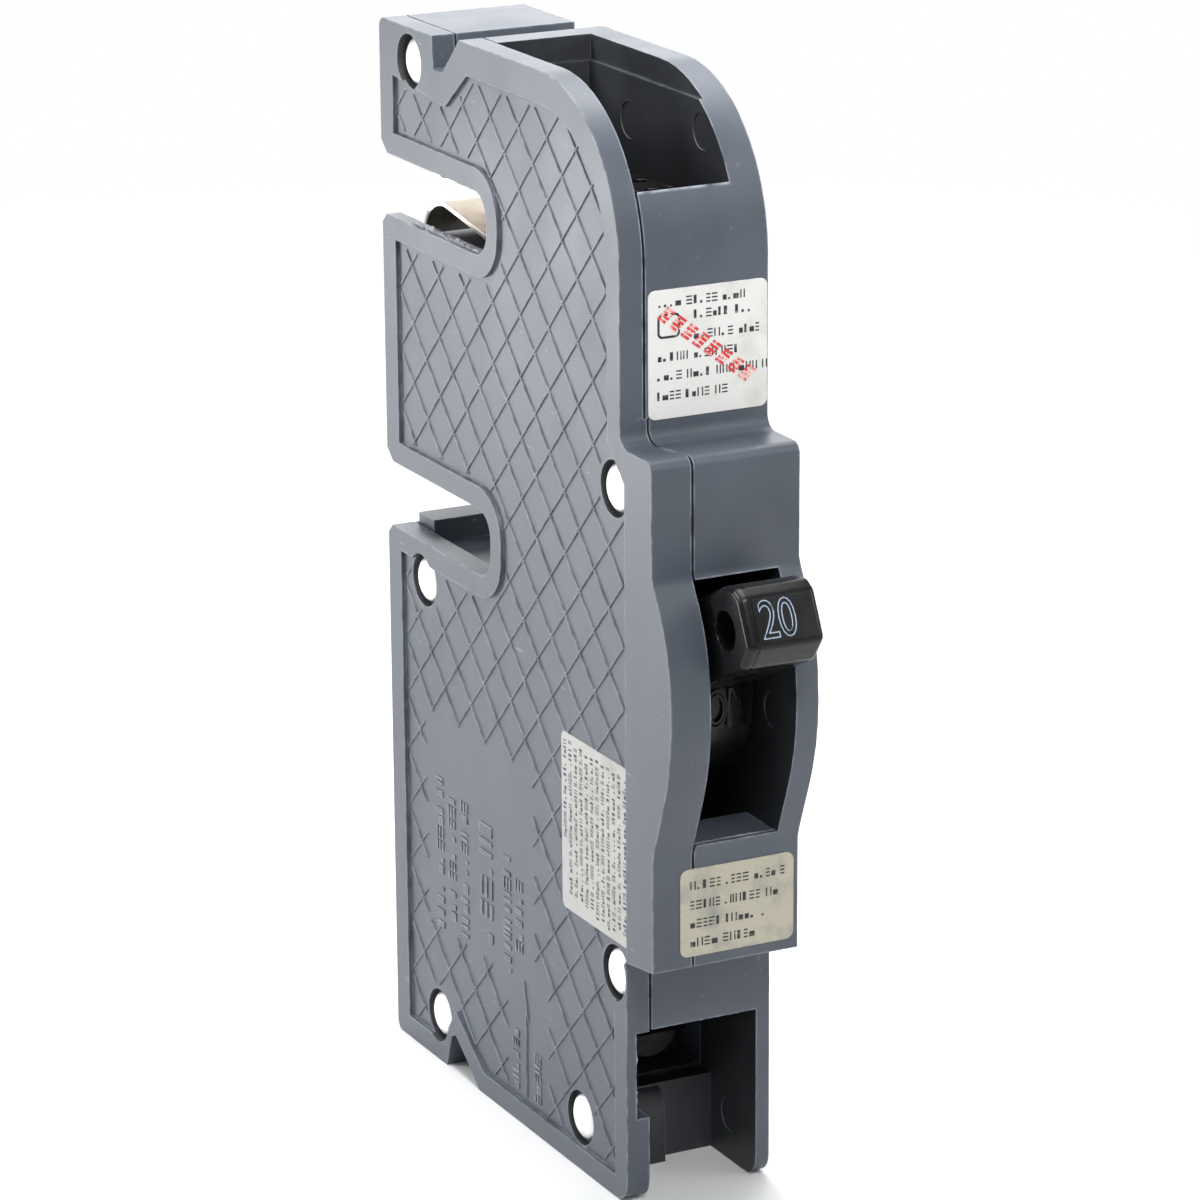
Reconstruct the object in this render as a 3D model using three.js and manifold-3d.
// A slim single-pole plug-on circuit breaker: two riveted case halves, a toggle handle on its pin,
// the contact arm it drives, a latched trip lever, a bimetal and magnet trip unit, an arc chute,
// a sprung bus clip and a box lug for the load wire.
//
// Millimetres. X runs across the breaker, from the riveted cover (-X) to the deep case half (+X).
// Y runs from the handle side (-Y) to the bus side (+Y), and Z runs up the long side.
// Every place below is written in the breaker's own drawing, where y = 0 is the plain front face
// and z = 0 is the flat bottom. The last lines move the drawing onto its base centre.

import * as THREE from 'three';
import { mergeVertices } from 'three/addons/utils/BufferGeometryUtils.js';
import Module from 'manifold-3d';

const wasm = await Module();
wasm.setup();

// ---- driving dimensions -------------------------------------------------------------------------

const WIDTH = 19.05;              // one three-quarter inch pole
const HEIGHT = 132.3;
const DEPTH = 63.4;               // plain front face to back face
const SIDE = WIDTH / 2;

const GAP = 0.3;                  // clearance between neighbouring pieces
const COVER_DEPTH = 3.3;          // cover thickness away from the handle
const LIP_DEPTH = 5.1;            // cover thickness along the raised front
const WALL = 2;
const INNER_RIGHT = SIDE - 1.9;   // inside of the deep half's floor
const SEAM = -SIDE + COVER_DEPTH;
const LIP_SEAM = -SIDE + LIP_DEPTH;

const RAISED = -7.6;              // front face of the raised handle section
const CHEEK = -12.3;              // crest of the cheeks beside the handle
const RAISED_TOP = 92.4;
const RAISED_BOTTOM = 30.9;
const LOWER_FRONT = -0.9;         // front face below the raised section
const SHOULDER = 19.5;            // radius of the big top front corner

const SLOT_END = 34.1;            // how far in the two bus slots reach
const LOWER_SLOT = { bottom: 67.7, top: 76, floor: 66.1 };
const SLOT_RIDGE = { front: 57, back: 61.4, top: 69.1 };
const UPPER_SLOT = { bottom: 107.3, top: 115 };
const SLOT_RADIUS = 3.2;
const SLOT_MOUTH = { under: [1.2, 1.1], over: [1.7, 1.5] };   // chamfers, along y and z
const EDGE = 1.3;                 // rounding of the outline's plain corners
const HEEL = 3.6;                 // and of its lower front corner
const BOTTOM_NOTCH = [[39.3, 0], [43.4, 3.1], [46.2, 5], [47.3, 4.4], [48.8, 0]];
const BLOCK_TOP = 131.6;          // top of the block behind the top notch
const TOP_NOTCH = [[48.4, BLOCK_TOP], [48.1, 127.6], [45.6, 127.6], [40.8, HEIGHT]];
const CHEEK_TOP = 79;
const CHEEK_CREST = 63;
const CHEEK_FOOT = 45.2;
const NECK = 1.8;                 // hollow rounding above the raised section

const PIVOT = { y: 10, z: 62 };   // handle pin
const HANDLE_TILT = THREE.MathUtils.degToRad(26);
const HANDLE = { left: -3.6, right: 6.1, drum: 14, hub: 5, halfHeight: 4.9, tip: 31.7 };
const HANDLE_DRUM_REACH = THREE.MathUtils.degToRad(105);      // either side of the nose
const HANDLE_CHIN = 1.7;          // set-back of the nose's front corners
const HANDLE_TIE = { at: 26.8, radius: 2.3 };                 // the hole for a handle tie
const PIN_RADIUS = 1.6;
const RUNNING = 0.1;              // radial clearance of a turning piece on its pin

const OPENING = { right: 6.6, bottom: 46.4, top: 78.2, back: -0.4 };
const TOP_POCKET = { right: 5.5, front: 1.9, back: 36.6, floor: 117, sill: 121.6 };
const LOAD_POCKET = { right: 7.7, top: 21.7, back: 10.3, step: 9.6, lug: 13 };
const LOAD_BOSS = { radius: 3.5, right: 0.6 };
const WIRE_WAY = { left: -3.6, right: 5.4, front: 18, back: 26.6 };

// The rooms inside the deep half, as y and z ranges.
const ROOMS = {
  arc: [[WALL, 31.8], [79, 115]],
  bus: [[31, DEPTH - WALL], [79, UPPER_SLOT.bottom - 4.6]],
  toggle: [[8, 31.4], [33, 80]],
  trip: [[31, DEPTH - WALL], [24, LOWER_SLOT.floor - WALL]],
  terminal: [[12, 32], [LOAD_POCKET.step + 0.2, 34]],
  heel: [[30, DEPTH - WALL], [7.4, 25]],
};
const CLIP_ROOM = [UPPER_SLOT.bottom - 2.7, UPPER_SLOT.top + 2.6];
const STRAP_WAY = { halfWidth: 5, z: [UPPER_SLOT.bottom - 2.8, UPPER_SLOT.bottom - 1] };

const RIVETS = {
  rivet_top: [54.9, 127.4],
  rivet_front_upper: [2.4, 87],
  rivet_back_middle: [54, 62.6],
  rivet_front_lower: [2.6, 28.2],
  rivet_back_lower: [51.5, 5.8],
  rivet_bottom: [12.2, 6.3],
};
const RIVET = { shank: 1.55, bore: 1.7, head: 2.8, crown: 0.9, counterbore: 3.4, sink: 1.5, boss: 3.9 };

const PAPER = 0.12;
const COVER_SUNK = 0.5;           // how far the cover's panel lies below its rim
const UPPER_LABEL_Z = [95.1, 110.1];
const LOWER_LABEL = { x: [-6, 8.9], z: [32.8, 43.5] };
const SIDE_LABEL = { y: [-0.8, 16.3], z: [32.1, 54.2] };

const ARM_PIVOT = { y: 26, z: 72 };
const ARM_PIN = 0.9;
const CONTACT = { z: 98.5, radius: 2.2, thickness: 1.2 };
const ARM_FACE = 26.7;            // back face of the contact arm
const ARM = { thickness: 1.3, halfWidth: 2.6, foot: 2 };
const MID = 0.9;                  // middle of the mechanism, across the breaker
const STRIP = 1.1;                // thickness of the copper straps
const CLIP = { left: -5.5, right: 5.5, thickness: 0.7 };

const ARC_PLATES = 5;
const ARC = { left: -5.3, right: 7, front: 5, back: 26, bottom: 102.6, pitch: 2.4, plate: 0.9 };
const ARC_WALL = { side: 0.5, front: 0.6 };
const ARC_NOTCH = { halfWidth: 2.6, depth: 7 };
const VENT = { rows: 5, columns: 4, radius: 0.9, across: 2.5, along: 5.2, stagger: 1.2, first: 9, margin: 2 };
const VENT_THICKNESS = 1.2;

const LEVER_PIVOT = { y: 15, z: 39 };
const LEVER_PIN = 1.2;
const LEVER = { tip: 44.5, halfWidth: 1.6, hub: 2.9 };
const TOGGLE_SPRING = { x: MID + 3.6, low: [27.5, 46.5], high: [25.5, 68], coil: 1.5, wire: 0.35, turns: 9 };
const BIMETAL = { front: 50, thickness: 1, halfWidth: 2.8, bottom: 26.2, top: 59 };
const YOKE = { outer: 4.2, inner: 3.2, reach: 2.6, back: 3, backInner: 1.7, bottom: 36, top: 50 };
const ARMATURE = { front: BIMETAL.front - 5.2, thickness: 1.2, bottom: 35.5, top: 56, pivot: 56.5, pin: 1.1 };
const CALIBRATION = { z: 30, radius: 1.5 };
const BRAID_RADIUS = 1;

const LUG = { left: -4.4, right: 6.2, front: 16.4, back: 28, bottom: 10.2, top: 21 };
const LUG_ROOM = { halfWidth: 3.4, front: 2.2, back: 1.6 };
const SCREW = { z: 15.6, radius: 2.5, head: 3.7, headDepth: 3, reach: 2.6, slot: 1.2, slotDepth: 1.2 };
const CLAMP = { halfWidth: 3, thickness: 1 };
const LOAD_STRAP_LEVEL = 24.2;

// ---- solids -------------------------------------------------------------------------------------

const SIDE_VIEW = new THREE.Matrix4().makeBasis(
  new THREE.Vector3(0, 1, 0),
  new THREE.Vector3(0, 0, 1),
  new THREE.Vector3(1, 0, 0),
);

function solidFrom(geometry) {
  const bare = geometry.clone();
  bare.deleteAttribute('normal');
  bare.deleteAttribute('uv');
  const merged = mergeVertices(bare);
  return new wasm.Manifold(new wasm.Mesh({
    numProp: 3,
    vertProperties: new Float32Array(merged.attributes.position.array),
    triVerts: new Uint32Array(merged.index.array),
  }));
}

function geometryFrom(solid) {
  const mesh = solid.getMesh();
  const geometry = new THREE.BufferGeometry();
  geometry.setAttribute('position', new THREE.BufferAttribute(mesh.vertProperties, 3));
  geometry.setIndex(new THREE.BufferAttribute(mesh.triVerts, 1));
  geometry.computeVertexNormals();
  return geometry;
}

// Pushes a side outline, drawn as (y, z), along x.
function sidePlate(shape, [xFrom, xTo], curveSegments = 8) {
  const geometry = new THREE.ExtrudeGeometry(shape, {
    depth: xTo - xFrom,
    bevelEnabled: false,
    curveSegments,
  });
  geometry.applyMatrix4(SIDE_VIEW);
  geometry.translate(xFrom, 0, 0);
  return solidFrom(geometry);
}

function box([x0, x1], [y0, y1], [z0, z1]) {
  const geometry = new THREE.BoxGeometry(x1 - x0, y1 - y0, z1 - z0);
  geometry.translate((x0 + x1) / 2, (y0 + y1) / 2, (z0 + z1) / 2);
  return solidFrom(geometry);
}

function crossRod(y, z, radius, [xFrom, xTo], segments = 24) {
  const geometry = new THREE.CylinderGeometry(radius, radius, xTo - xFrom, segments);
  geometry.rotateZ(-Math.PI / 2);
  geometry.translate((xFrom + xTo) / 2, y, z);
  return solidFrom(geometry);
}

function deepRod(x, z, radius, [yFrom, yTo], segments = 24) {
  const geometry = new THREE.CylinderGeometry(radius, radius, yTo - yFrom, segments);
  geometry.translate(x, (yFrom + yTo) / 2, z);
  return solidFrom(geometry);
}

function uprightRod(x, y, radius, [zFrom, zTo], segments = 16) {
  const geometry = new THREE.CylinderGeometry(radius, radius, zTo - zFrom, segments);
  geometry.rotateX(Math.PI / 2);
  geometry.translate(x, y, (zFrom + zTo) / 2);
  return solidFrom(geometry);
}

function joined(solids) {
  return solids.reduce((sum, solid) => sum.add(solid));
}

function polygon(points) {
  return new THREE.Shape(points.map(([y, z]) => new THREE.Vector2(y, z)));
}

// The outline of a strip bent along a path, thickened to the path's left.
function bentStrip(path, thickness) {
  const points = path.map(([y, z]) => new THREE.Vector2(y, z));
  const leftOf = (from, to) => new THREE.Vector2(from.y - to.y, to.x - from.x).normalize();
  const outer = points.map((point, i) => {
    const before = leftOf(points[Math.max(i - 1, 0)], points[Math.max(i, 1)]);
    const after = leftOf(points[Math.min(i, points.length - 2)], points[Math.min(i + 1, points.length - 1)]);
    const mitre = before.clone().add(after).normalize();
    return point.clone().addScaledVector(mitre, thickness / mitre.dot(after));
  });
  return new THREE.Shape([...points, ...outer.reverse()]);
}

// A round wire along a smooth curve.
function wire(points, radius, steps) {
  const curve = new THREE.CatmullRomCurve3(points.map(([x, y, z]) => new THREE.Vector3(x, y, z)));
  const section = new THREE.Shape().absarc(0, 0, radius, 0, 2 * Math.PI);
  return solidFrom(new THREE.ExtrudeGeometry(section, { extrudePath: curve, steps, curveSegments: 4 }));
}

// ---- case ---------------------------------------------------------------------------------------

function slotCut(outline, { bottom, top }) {
  const { under, over } = SLOT_MOUTH;
  const centre = SLOT_END + SLOT_RADIUS;
  outline.lineTo(DEPTH, bottom - under[1]);
  outline.lineTo(DEPTH - under[0], bottom);
  outline.lineTo(centre, bottom);
  outline.absarc(centre, bottom + SLOT_RADIUS, SLOT_RADIUS, -Math.PI / 2, Math.PI, true);
  outline.absarc(centre, top - SLOT_RADIUS, SLOT_RADIUS, Math.PI, Math.PI / 2, true);
  outline.lineTo(DEPTH - over[0], top);
  outline.lineTo(DEPTH, top + over[1]);
}

// The side view that both case halves share.
function caseOutline() {
  const outline = new THREE.Shape();
  outline.moveTo(LOWER_FRONT + HEEL, 0);
  for (const [y, z] of BOTTOM_NOTCH) {
    outline.lineTo(y, z);
  }
  outline.lineTo(DEPTH - EDGE, 0);
  outline.absarc(DEPTH - EDGE, EDGE, EDGE, -Math.PI / 2, 0, false);
  slotCut(outline, LOWER_SLOT);
  slotCut(outline, UPPER_SLOT);
  outline.lineTo(DEPTH, BLOCK_TOP - EDGE);
  outline.absarc(DEPTH - EDGE, BLOCK_TOP - EDGE, EDGE, 0, Math.PI / 2, false);
  for (const [y, z] of TOP_NOTCH) {
    outline.lineTo(y, z);
  }
  outline.lineTo(SHOULDER, HEIGHT);
  outline.absarc(SHOULDER, HEIGHT - SHOULDER, SHOULDER, Math.PI / 2, Math.PI, false);
  outline.lineTo(0, RAISED_TOP + NECK);
  outline.absarc(-NECK, RAISED_TOP + NECK, NECK, 0, -Math.PI / 2, true);
  outline.lineTo(RAISED + EDGE, RAISED_TOP);
  outline.absarc(RAISED + EDGE, RAISED_TOP - EDGE, EDGE, Math.PI / 2, Math.PI, false);
  outline.lineTo(RAISED, CHEEK_TOP);
  outline.bezierCurveTo(RAISED - 1, CHEEK_TOP - 3, CHEEK + 0.1, CHEEK_CREST + 10.5, CHEEK, CHEEK_CREST);
  outline.bezierCurveTo(CHEEK, CHEEK_CREST - 8, RAISED - 1.6, CHEEK_FOOT + 5.3, RAISED, CHEEK_FOOT);
  outline.lineTo(RAISED, RAISED_BOTTOM + 0.6);
  outline.lineTo(LOWER_FRONT, RAISED_BOTTOM - 0.3);
  outline.lineTo(LOWER_FRONT, HEEL - 0.4);
  outline.quadraticCurveTo(LOWER_FRONT, 0, LOWER_FRONT + HEEL, 0);
  return outline;
}

// The part of the cover that comes forward to the handle opening, with its slanted seam.
function lipZone(seamShift) {
  const slantBack = 0.6;
  const slantFront = RAISED + 1;
  const wedge = new THREE.Shape([
    new THREE.Vector2(-WIDTH, slantBack),
    new THREE.Vector2(SEAM + seamShift, slantBack),
    new THREE.Vector2(LIP_SEAM + seamShift, slantFront),
    new THREE.Vector2(LIP_SEAM + seamShift, -DEPTH),
    new THREE.Vector2(-WIDTH, -DEPTH),
  ]);
  const height = RAISED_TOP - RAISED_BOTTOM + 4;
  const geometry = new THREE.ExtrudeGeometry(wedge, { depth: height, bevelEnabled: false });
  geometry.translate(0, 0, RAISED_BOTTOM - 1);
  return solidFrom(geometry);
}

function clipRecess(xRange) {
  return box(xRange, [SLOT_END - 1, DEPTH + 1], CLIP_ROOM);
}

// Everything that is hollow in the deep half, less the posts that the rivets pass through.
function baseHollows() {
  const across = [SEAM - 1, INNER_RIGHT];
  const handleAcross = [SEAM - 1, OPENING.right];
  const hollows = joined([
    ...Object.values(ROOMS).map(([y, z]) => box(across, y, z)),
    clipRecess(across),
    box([MID - STRAP_WAY.halfWidth, MID + STRAP_WAY.halfWidth], [ROOMS.bus[0][0], SLOT_END], STRAP_WAY.z),
    box(handleAcross, [OPENING.back, 9], [OPENING.bottom - 4.4, ROOMS.toggle[1][1]]),
    box(handleAcross, [CHEEK - 1, 1], [OPENING.bottom, OPENING.top]),
  ]);
  const posts = Object.values(RIVETS).map(([y, z]) => crossRod(y, z, RIVET.boss, [-SIDE, SIDE]));
  return hollows.subtract(joined(posts));
}

function topPocket() {
  const across = [SEAM - 1, TOP_POCKET.right];
  const { front, back, floor, sill } = TOP_POCKET;
  return joined([
    box(across, [front, back], [floor - 3, HEIGHT + 1]),
    box(across, [-1, back], [sill, HEIGHT + 1]),
    box([SEAM - 1, TOP_POCKET.right + 0.5], [front - 3, back + 0.5], [HEIGHT - 3, HEIGHT + 1]),
  ]);
}

// The terminal pocket is open to the front and at its lower front edge.
function loadPocket() {
  const { right, top, back, step, lug } = LOAD_POCKET;
  const [postY, postZ] = RIVETS.rivet_bottom;
  const bossAcross = [-SIDE, LOAD_BOSS.right];
  const open = joined([
    box([SEAM - 1, right], [LOWER_FRONT - 1, back + 0.1], [-1, top]),
    box([SEAM - 1, right], [back, lug], [step, top]),
    box([WIRE_WAY.left, WIRE_WAY.right], [WIRE_WAY.front, WIRE_WAY.back], [-1, step + 1]),
  ]);
  const boss = joined([
    crossRod(postY, postZ, LOAD_BOSS.radius, bossAcross),
    box(bossAcross, [postY - LOAD_BOSS.radius, postY + 1], [-1, postZ]),
  ]);
  return open.subtract(boss);
}

function rivetHoles(headSide) {
  const holes = Object.values(RIVETS).map(([y, z]) => {
    const bore = crossRod(y, z, RIVET.bore, [-SIDE - 1, SIDE + 1], 20);
    const sinkFrom = headSide < 0 ? -SIDE - 1 : SIDE - RIVET.sink;
    const sinkTo = headSide < 0 ? -SIDE + RIVET.sink : SIDE + 1;
    return bore.add(crossRod(y, z, RIVET.counterbore, [sinkFrom, sinkTo]));
  });
  return joined(holes);
}

function pinSockets() {
  const depth = [SEAM - 1.4, INNER_RIGHT + 0.9];
  return joined([
    crossRod(PIVOT.y, PIVOT.z, PIN_RADIUS + RUNNING, depth),
    crossRod(LEVER_PIVOT.y, LEVER_PIVOT.z, LEVER_PIN + RUNNING, depth),
    crossRod(ARM_PIVOT.y, ARM_PIVOT.z, ARM_PIN + RUNNING, depth, 16),
  ]);
}

// Inside the deep half the lower slot's floor drops, and a ridge stands across its mouth.
function slotFloor() {
  const { bottom, floor } = LOWER_SLOT;
  return box([SEAM - 1, INNER_RIGHT], [SLOT_END, SLOT_RIDGE.front], [floor, bottom + 1]);
}

function slotRidge() {
  return box([SEAM, SIDE], [SLOT_RIDGE.front, SLOT_RIDGE.back], [LOWER_SLOT.floor, SLOT_RIDGE.top]);
}

function caseBase() {
  return sidePlate(caseOutline(), [SEAM, SIDE])
    .subtract(lipZone(GAP))
    .subtract(baseHollows())
    .subtract(topPocket())
    .subtract(loadPocket())
    .subtract(slotFloor())
    .add(slotRidge())
    .subtract(rivetHoles(1))
    .subtract(pinSockets())
    .subtract(deepRod(MID, CALIBRATION.z, CALIBRATION.radius + RUNNING, [DEPTH - WALL - 1, DEPTH + 1]));
}

// The sunken panel inside the cover's raised rim, drawn once round. Beside the handle the rim keeps
// to the raised section, so the panel reaches further forward there.
function coverField() {
  const rim = 2.8;
  const backRim = 3.6;
  const topRim = 4;
  const upperFront = 3.2;
  const middleFront = -1;
  const lowerFront = 2.2;
  const back = DEPTH - backRim;
  const radius = SLOT_RADIUS + rim;
  const bend = SLOT_END - rim + radius;
  const roundNotches = [[38.2, rim], [46, 8.2], [50, rim], [back, rim]];
  const roundTop = [[back, 125], [45, 123.6], [39, HEIGHT - topRim], [SHOULDER, HEIGHT - topRim]];
  const field = new THREE.Shape();
  field.moveTo(lowerFront, rim);
  for (const [y, z] of roundNotches) {
    field.lineTo(y, z);
  }
  for (const slot of [LOWER_SLOT, UPPER_SLOT]) {
    const under = slot.bottom - rim;
    const over = slot.top + rim;
    field.lineTo(back, under);
    field.lineTo(bend, under);
    field.absarc(bend, under + radius, radius, -Math.PI / 2, Math.PI, true);
    field.absarc(bend, over - radius, radius, Math.PI, Math.PI / 2, true);
    field.lineTo(back, over);
  }
  for (const [y, z] of roundTop) {
    field.lineTo(y, z);
  }
  field.absarc(SHOULDER, HEIGHT - SHOULDER, SHOULDER - upperFront, Math.PI / 2, Math.PI, false);
  field.lineTo(upperFront, RAISED_TOP);
  field.lineTo(middleFront, RAISED_TOP - 4);
  field.lineTo(middleFront, RAISED_BOTTOM);
  field.lineTo(lowerFront, RAISED_BOTTOM - 3);
  field.lineTo(lowerFront, rim);
  return field;
}

function caseCover() {
  const clipWall = 1.9;
  const pocketWall = 1.3;
  const pocketRoom = [[LOWER_FRONT - 1, 8.4], [10.7, LOAD_POCKET.top - 0.2]];
  const field = sidePlate(coverField(), [-SIDE - 1, -SIDE + COVER_SUNK]);
  const plate = sidePlate(caseOutline(), [-SIDE, SEAM - GAP]);
  const lip = sidePlate(caseOutline(), [-SIDE, LIP_SEAM]).intersect(lipZone(0));
  return plate.add(lip)
    .subtract(field)
    .subtract(clipRecess([-SIDE + clipWall, 0]))
    .subtract(box([-SIDE + pocketWall, 0], ...pocketRoom))
    .subtract(rivetHoles(-1))
    .subtract(pinSockets());
}

function rivet([y, z]) {
  const seat = -SIDE + RIVET.sink - GAP / 2;
  const profile = [
    [0, seat],
    [RIVET.head, seat],
    [RIVET.head, seat - RIVET.crown * 0.45],
    [RIVET.head * 0.75, seat - RIVET.crown * 0.85],
    [RIVET.head * 0.4, seat - RIVET.crown],
    [0, seat - RIVET.crown * 1.1],
  ];
  const head = new THREE.LatheGeometry(profile.map(([r, h]) => new THREE.Vector2(r, -h)), 24);
  head.rotateZ(Math.PI / 2);
  head.translate(0, y, z);
  const tailSeat = SIDE - RIVET.sink + GAP / 2;
  const shank = crossRod(y, z, RIVET.shank, [seat - 0.1, tailSeat + 0.1], 20);
  const tail = crossRod(y, z, RIVET.head * 0.9, [tailSeat, tailSeat + RIVET.crown]);
  return joined([solidFrom(head), shank, tail]);
}

// ---- handle and contacts ------------------------------------------------------------------------

// The handle is drawn pointing straight forward and then turned up to ON about its pin.
function handle() {
  const { left, right, drum, hub, halfHeight, tip } = HANDLE;
  const reach = HANDLE_DRUM_REACH;
  const sector = new THREE.Shape();
  sector.moveTo(hub * Math.cos(reach), -hub * Math.sin(reach));
  sector.lineTo(-drum * Math.cos(reach), -drum * Math.sin(reach));
  sector.absarc(0, 0, drum, Math.PI + reach, Math.PI - reach, true);
  sector.lineTo(hub * Math.cos(reach), hub * Math.sin(reach));
  const chamfer = 3.4;
  const nose = polygon([
    [-drum / 2, -halfHeight],
    [-drum / 2, halfHeight],
    [-tip + chamfer, halfHeight],
    [-tip + chamfer / 3, halfHeight - chamfer / 5],
    [-tip, halfHeight - HANDLE_CHIN],
    [-tip, -halfHeight + HANDLE_CHIN],
    [-tip + chamfer, -halfHeight],
  ]);
  const across = [left, right];
  const solid = joined([
    sidePlate(sector, across, 16),
    sidePlate(nose, across),
    crossRod(0, 0, hub, across),
  ])
    .subtract(crossRod(-HANDLE_TIE.at, 0, HANDLE_TIE.radius, [left - 1, right + 1]))
    .subtract(crossRod(0, 0, PIN_RADIUS + RUNNING, [left - 1, right + 1]));
  const geometry = geometryFrom(solid);
  geometry.rotateX(-HANDLE_TILT);
  geometry.translate(0, PIVOT.y, PIVOT.z);
  return geometry;
}

function handlePin() {
  return crossRod(PIVOT.y, PIVOT.z, PIN_RADIUS, [SEAM - 1.1, INNER_RIGHT + 0.6]);
}

function contactArm() {
  const { y, z } = ARM_PIVOT;
  const across = [MID - ARM.halfWidth, MID + ARM.halfWidth];
  const blade = box(across, [ARM_FACE - ARM.thickness, ARM_FACE], [z - 1, CONTACT.z + CONTACT.radius + 0.6]);
  const foot = crossRod(y, z, ARM.foot, across, 20);
  return blade.add(foot).subtract(crossRod(y, z, ARM_PIN + RUNNING, [-SIDE, SIDE], 16));
}

function armPin() {
  return crossRod(ARM_PIVOT.y, ARM_PIVOT.z, ARM_PIN, [SEAM - 1.1, INNER_RIGHT + 0.6], 16);
}

function movingContact() {
  return deepRod(MID, CONTACT.z, CONTACT.radius, [ARM_FACE + 0.02, ARM_FACE + CONTACT.thickness]);
}

function fixedContact() {
  const face = ARM_FACE + CONTACT.thickness + 0.1;
  return deepRod(MID, CONTACT.z, CONTACT.radius + 0.3, [face, face + CONTACT.thickness]);
}

function lineStrap() {
  const back = ARM_FACE + 2 * CONTACT.thickness + 0.12;
  const level = STRAP_WAY.z[1] - 0.4;
  const outline = bentStrip([[back, CONTACT.z - 4], [back, level], [41, level]], -STRIP);
  return sidePlate(outline, [MID - 3.5, MID + 3.5]);
}

// A spring strip bent into two jaws that grip a bus blade.
function busClip() {
  const back = SLOT_END + 0.6;
  const outline = bentStrip([
    [59.4, 104.9],
    [59, 106.7],
    [57.3, 108.4],
    [55, 109.2],
    [52.6, 109],
    [back + 1.6, 106.3],
    [back, 107.3],
    [back, 115.8],
    [back + 1, 116.8],
    [52.5, 113.2],
    [55, 113],
    [57.4, 113.8],
    [59, 115.7],
  ], -CLIP.thickness);
  return sidePlate(outline, [CLIP.left, CLIP.right]);
}

// ---- arc chute ----------------------------------------------------------------------------------

function arcPlate(index) {
  const z = ARC.bottom + ARC_WALL.front + index * ARC.pitch;
  const notch = new THREE.Shape([
    new THREE.Vector2(MID - ARC_NOTCH.halfWidth, ARC.back + 1),
    new THREE.Vector2(MID + ARC_NOTCH.halfWidth, ARC.back + 1),
    new THREE.Vector2(MID, ARC.back - ARC_NOTCH.depth),
  ]);
  const cut = new THREE.ExtrudeGeometry(notch, { depth: ARC.plate + 2, bevelEnabled: false });
  cut.translate(0, 0, z - 1);
  const across = [ARC.left + 0.7, ARC.right - 0.7];
  return box(across, [ARC.front + 1, ARC.back], [z, z + ARC.plate]).subtract(solidFrom(cut));
}

function arcChuteFrame() {
  const { left, right, front, back, bottom } = ARC;
  const top = bottom + ARC_PLATES * ARC.pitch;
  const shell = box([left, right], [front, back], [bottom, top]);
  const across = [left + ARC_WALL.side, right - ARC_WALL.side];
  return shell.subtract(box(across, [front + ARC_WALL.front, back + 1], [bottom - 1, top + 1]));
}

function ventGrille() {
  const { floor, front, back, right } = TOP_POCKET;
  const { rows, columns, radius, across, along, stagger, first, margin } = VENT;
  const plate = box([SEAM + 0.1, right - 0.2], [front + 0.2, back - 0.2], [floor, floor + VENT_THICKNESS]);
  const through = [floor - 1, floor + VENT_THICKNESS + 1];
  const holes = [];
  for (let row = 0; row < rows; row += 1) {
    for (let column = 0; column < columns; column += 1) {
      const x = SEAM + margin + (row % 2) * stagger + column * across;
      holes.push(uprightRod(x, first + row * along, radius, through, 10));
    }
  }
  return plate.subtract(joined(holes));
}

// ---- trip unit ----------------------------------------------------------------------------------

function tripLeverPin() {
  return crossRod(LEVER_PIVOT.y, LEVER_PIVOT.z, LEVER_PIN, [SEAM - 1.1, INNER_RIGHT + 0.6]);
}

function tripLever() {
  const { y, z } = LEVER_PIVOT;
  const { tip, halfWidth, hub } = LEVER;
  const across = [MID - halfWidth, MID + halfWidth];
  const arm = polygon([
    [y, z - 2.2],
    [tip - 5, z + 1.2],
    [tip, z + 1.2],
    [tip, z + 3],
    [tip - 10, z + 4.2],
    [y, z + 2.6],
  ]);
  return sidePlate(arm, across)
    .add(crossRod(y, z, hub, across))
    .subtract(crossRod(y, z, LEVER_PIN + RUNNING, [-SIDE, SIDE]));
}

// A close-wound tension spring between the trip lever and the contact arm.
function toggleSpring() {
  const { x, low, high, coil, wire: wireRadius, turns } = TOGGLE_SPRING;
  const steps = turns * 8;
  const points = [];
  for (let step = 0; step <= steps; step += 1) {
    const along = step / steps;
    const angle = along * turns * 2 * Math.PI;
    points.push([
      x + coil * Math.cos(angle),
      THREE.MathUtils.lerp(low[0], high[0], along) + coil * Math.sin(angle),
      THREE.MathUtils.lerp(low[1], high[1], along),
    ]);
  }
  return wire(points, wireRadius, steps);
}

function bimetal() {
  const { front, thickness, halfWidth, bottom, top } = BIMETAL;
  return box([MID - halfWidth, MID + halfWidth], [front, front + thickness], [bottom, top]);
}

function magnetYoke() {
  const { outer, inner, reach, back, backInner, bottom, top } = YOKE;
  const { front } = BIMETAL;
  const shell = box([MID - outer, MID + outer], [front - reach, front + back], [bottom, top]);
  const room = box([MID - inner, MID + inner], [front - reach - 1, front + backInner], [bottom - 1, top + 1]);
  return shell.subtract(room);
}

function armature() {
  const { front, thickness, bottom, top, pivot, pin } = ARMATURE;
  const across = [MID - YOKE.outer, MID + YOKE.outer];
  const plate = box(across, [front, front + thickness], [bottom, top]);
  const hinge = crossRod(front + thickness / 2, pivot, pin, across, 16);
  const latch = [LEVER_PIVOT.z + 0.8, LEVER_PIVOT.z + 3.4];
  const window = box([MID - 2, MID + 2], [front - 1, front + thickness + 1], latch);
  return plate.add(hinge).subtract(window);
}

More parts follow.
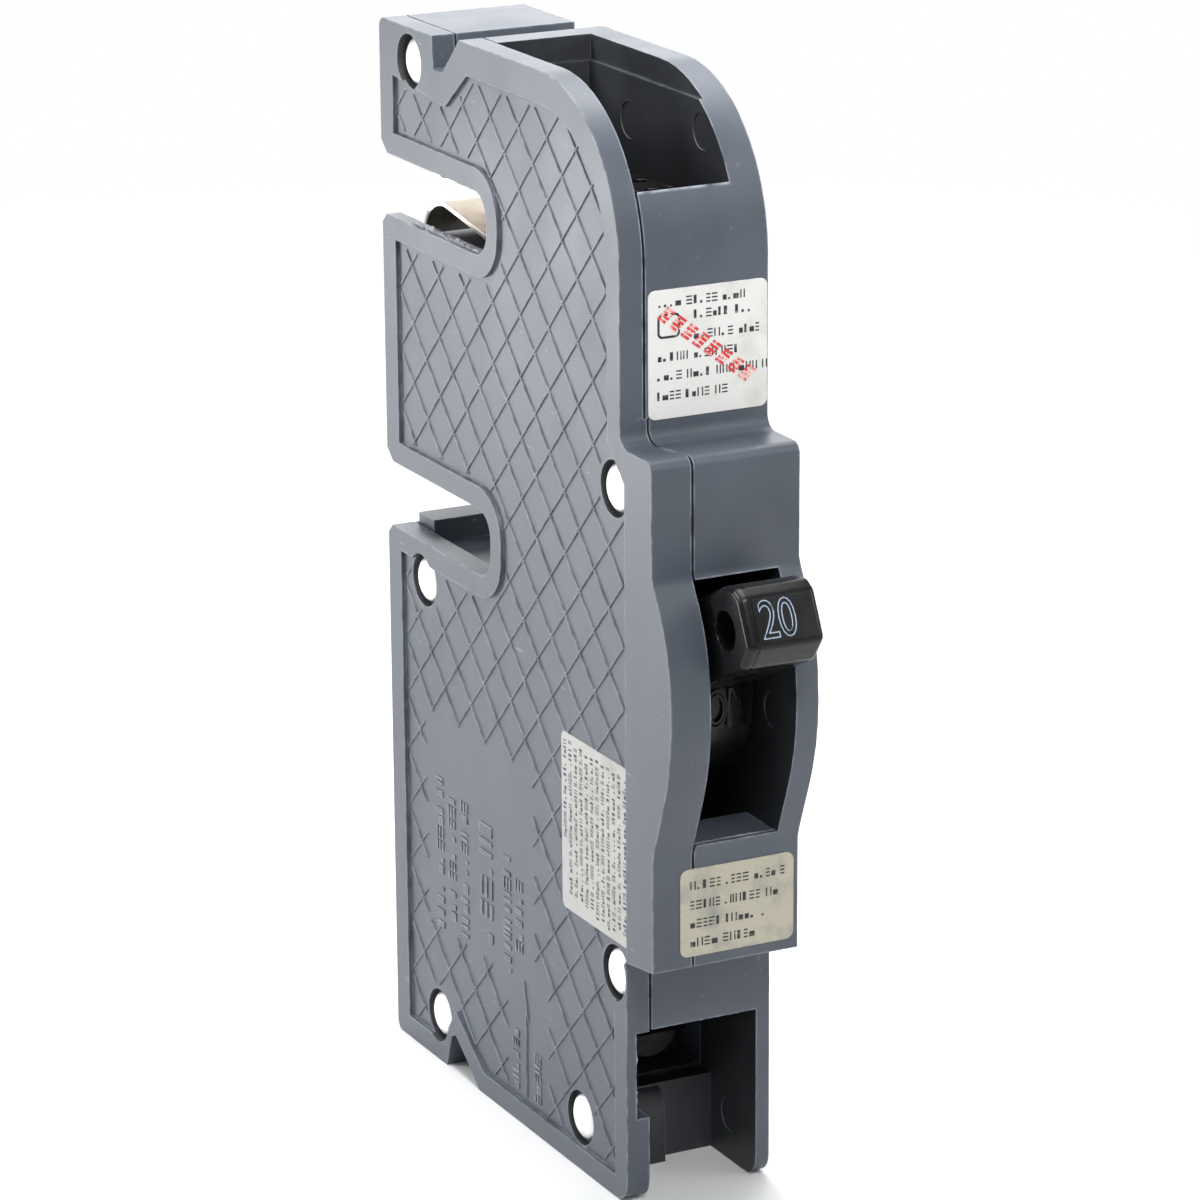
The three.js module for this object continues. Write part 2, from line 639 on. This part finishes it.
// A small leaf that holds the armature off its yoke.
function armatureSpring() {
  const back = ARMATURE.front + ARMATURE.thickness + 0.4;
  const { top } = ARMATURE;
  const leaf = bentStrip([[back, top - 1.5], [back + 1.2, top - 3.5], [back, top - 5.4]], GAP);
  return sidePlate(leaf, [MID - 1.2, MID + 1.2]);
}

function calibrationScrew() {
  const through = [BIMETAL.front + YOKE.back + 0.2, DEPTH - 0.4];
  return deepRod(MID, CALIBRATION.z, CALIBRATION.radius, through, 16);
}

function flexibleBraid() {
  return wire([
    [MID, BIMETAL.front - 1.3, 57.5],
    [MID, BIMETAL.front - 5.5, 60.6],
    [MID, 38, 61.5],
    [MID, 31, 62],
    [MID, 29.2, 67],
    [MID, 29.5, 73],
    [MID, 28.6, 79],
    [MID, 27.9, 84],
  ], BRAID_RADIUS, 22);
}

// ---- load terminal ------------------------------------------------------------------------------

function loadStrap() {
  const seat = LUG.back - 3;
  const riser = BIMETAL.front + 1.3;
  const path = [[seat, LUG.bottom + 0.8], [seat, LOAD_STRAP_LEVEL], [riser, LOAD_STRAP_LEVEL], [riser, 34]];
  return sidePlate(bentStrip(path, -STRIP), [MID - CLAMP.halfWidth, MID + CLAMP.halfWidth]);
}

function loadLug() {
  const { left, right, front, back, bottom, top } = LUG;
  const across = [MID - LUG_ROOM.halfWidth, MID + LUG_ROOM.halfWidth];
  return box([left, right], [front, back], [bottom, top])
    .subtract(box(across, [front + LUG_ROOM.front, back - LUG_ROOM.back], [bottom - 1, top + 1]))
    .subtract(deepRod(MID, SCREW.z, SCREW.radius + RUNNING, [front - 1, front + LUG_ROOM.front + 1]));
}

function lugScrew() {
  const { z, radius, head, headDepth, reach, slot, slotDepth } = SCREW;
  const headBack = LUG.front - 0.4;
  const headFront = headBack - headDepth;
  const top = deepRod(MID, z, head, [headFront, headBack]);
  const shank = deepRod(MID, z, radius, [headBack - 1, LUG.front + reach]);
  const across = [MID - head - 1, MID + head + 1];
  const cut = box(across, [headFront - 1, headFront + slotDepth], [z - slot / 2, z + slot / 2]);
  return top.add(shank).subtract(cut);
}

function clampPlate() {
  const front = LUG.front + SCREW.reach + GAP;
  const across = [MID - CLAMP.halfWidth, MID + CLAMP.halfWidth];
  return box(across, [front, front + CLAMP.thickness], [LUG.bottom + 1, LUG.top - 1]);
}

// ---- labels -------------------------------------------------------------------------------------

function upperLabel() {
  return box([SEAM + GAP, SIDE - GAP / 2], [-PAPER, 0], UPPER_LABEL_Z);
}

function lowerLabel() {
  return box(LOWER_LABEL.x, [RAISED - PAPER, RAISED], LOWER_LABEL.z);
}

function sideLabel() {
  const { y, z } = SIDE_LABEL;
  return box([-SIDE + COVER_SUNK - PAPER, -SIDE + COVER_SUNK], y, z);
}

// ---- assembly -----------------------------------------------------------------------------------

function finish(color, roughness, metalness) {
  return new THREE.MeshStandardMaterial({ color, roughness, metalness });
}

const CASE = finish(0x646d78, 0.45, 0);
const BLACK = finish(0x151516, 0.3, 0);
const STEEL = finish(0x8d9094, 0.4, 1);
const BRIGHT = finish(0xe9e9e6, 0.35, 1);
const TINNED = finish(0xcbb894, 0.35, 1);
const COPPER = finish(0xb87448, 0.4, 1);
const SILVER = finish(0xdadbd8, 0.3, 1);
const FIBRE = finish(0x6b4a3a, 0.8, 0);
const LABEL = finish(0xe6e4da, 0.6, 0);
const FOIL = finish(0xb9b6a6, 0.45, 0.4);

const assembly = new THREE.Group();

function place(name, piece, material) {
  const geometry = piece.isBufferGeometry ? piece : geometryFrom(piece);
  const mesh = new THREE.Mesh(geometry, material);
  mesh.name = name;
  assembly.add(mesh);
}

place('case_base', caseBase(), CASE);
place('case_cover', caseCover(), CASE);
for (const [name, centre] of Object.entries(RIVETS)) {
  place(name, rivet(centre), BRIGHT);
}
place('handle', handle(), BLACK);
place('handle_pin', handlePin(), STEEL);
place('arm_pin', armPin(), STEEL);
place('contact_arm', contactArm(), COPPER);
place('moving_contact', movingContact(), SILVER);
place('fixed_contact', fixedContact(), SILVER);
place('line_strap', lineStrap(), COPPER);
place('bus_clip', busClip(), TINNED);
for (let index = 0; index < ARC_PLATES; index += 1) {
  place(`arc_plate_${index + 1}`, arcPlate(index), STEEL);
}
place('arc_chute_frame', arcChuteFrame(), FIBRE);
place('vent_grille', ventGrille(), BLACK);
place('trip_lever', tripLever(), STEEL);
place('trip_lever_pin', tripLeverPin(), STEEL);
place('toggle_spring', toggleSpring(), BRIGHT);
place('bimetal', bimetal(), SILVER);
place('magnet_yoke', magnetYoke(), STEEL);
place('armature', armature(), STEEL);
place('armature_spring', armatureSpring(), BRIGHT);
place('calibration_screw', calibrationScrew(), STEEL);
place('flexible_braid', flexibleBraid(), COPPER);
place('load_strap', loadStrap(), COPPER);
place('load_lug', loadLug(), SILVER);
place('lug_screw', lugScrew(), STEEL);
place('clamp_plate', clampPlate(), STEEL);
place('label_front_upper', upperLabel(), LABEL);
place('label_front_lower', lowerLabel(), FOIL);
place('label_side', sideLabel(), LABEL);

// The foremost corner of the handle sets the front of the box that the origin is centred in.
const foremost = PIVOT.y - HANDLE.tip * Math.cos(HANDLE_TILT)
  - (HANDLE.halfHeight - HANDLE_CHIN) * Math.sin(HANDLE_TILT);
assembly.position.set(0, -(foremost + DEPTH) / 2, 0);

export default assembly;
